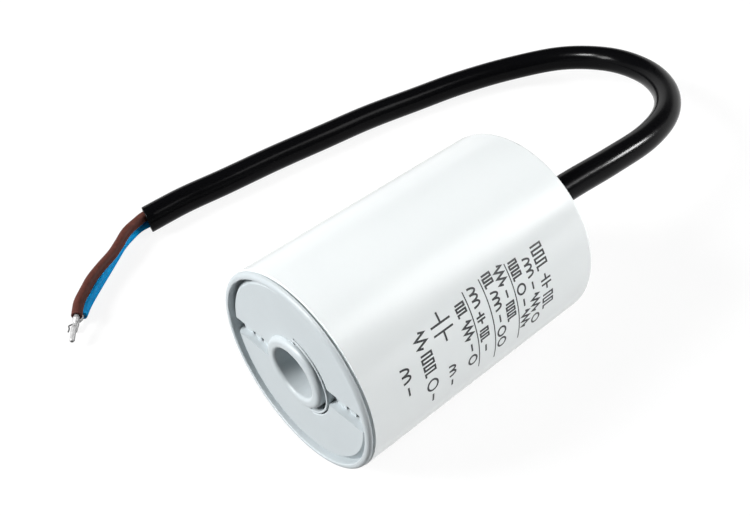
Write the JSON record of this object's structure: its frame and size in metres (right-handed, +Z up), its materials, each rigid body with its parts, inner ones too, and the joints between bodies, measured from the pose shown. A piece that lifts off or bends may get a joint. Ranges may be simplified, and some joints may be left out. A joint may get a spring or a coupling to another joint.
{
  "type": "motor capacitor",
  "caption": "Round moulded film capacitor for a single-phase motor, with a boss and blind fixing bore in its lid and a short sheathed cable with stripped ends.",
  "frame": {"origin": "on the surface that the case lies on, below the case's axis, halfway between the boss's face and the end of the cable collar", "axes": "+X along the case's axis from the lid towards the cable, +Z up from the surface that it lies on"},
  "size_m": [0.1554, 0.0911, 0.04],
  "materials": {
    "case_plastic": "satin moulded white",
    "lid_plastic": "moulded, lightly textured, white",
    "winding_film": "metallised film, wound",
    "core_plastic": "extruded",
    "sprayed_zinc": "rough sprayed metal",
    "solder": "bright solder",
    "brown_insulation": "soft extruded",
    "blue_insulation": "soft extruded",
    "resin": "poured",
    "cable_pvc": "smooth extruded black",
    "tinned_copper": "tinned strands"
  },
  "bodies": {
    "root": {"case": "case_plastic", "end_lid": "lid_plastic", "film_winding": "winding_film", "winding_core": "core_plastic", "front_contact": "sprayed_zinc", "rear_contact": "sprayed_zinc", "front_solder": "solder", "rear_solder": "solder", "brown_lead": "brown_insulation", "blue_lead": "blue_insulation", "potting_resin": "resin", "cable_root": "cable_pvc", "cable_sheath": "cable_pvc", "brown_core": "brown_insulation", "blue_core": "blue_insulation", "brown_strands": "tinned_copper", "blue_strands": "tinned_copper"}
  },
  "joints": []
}
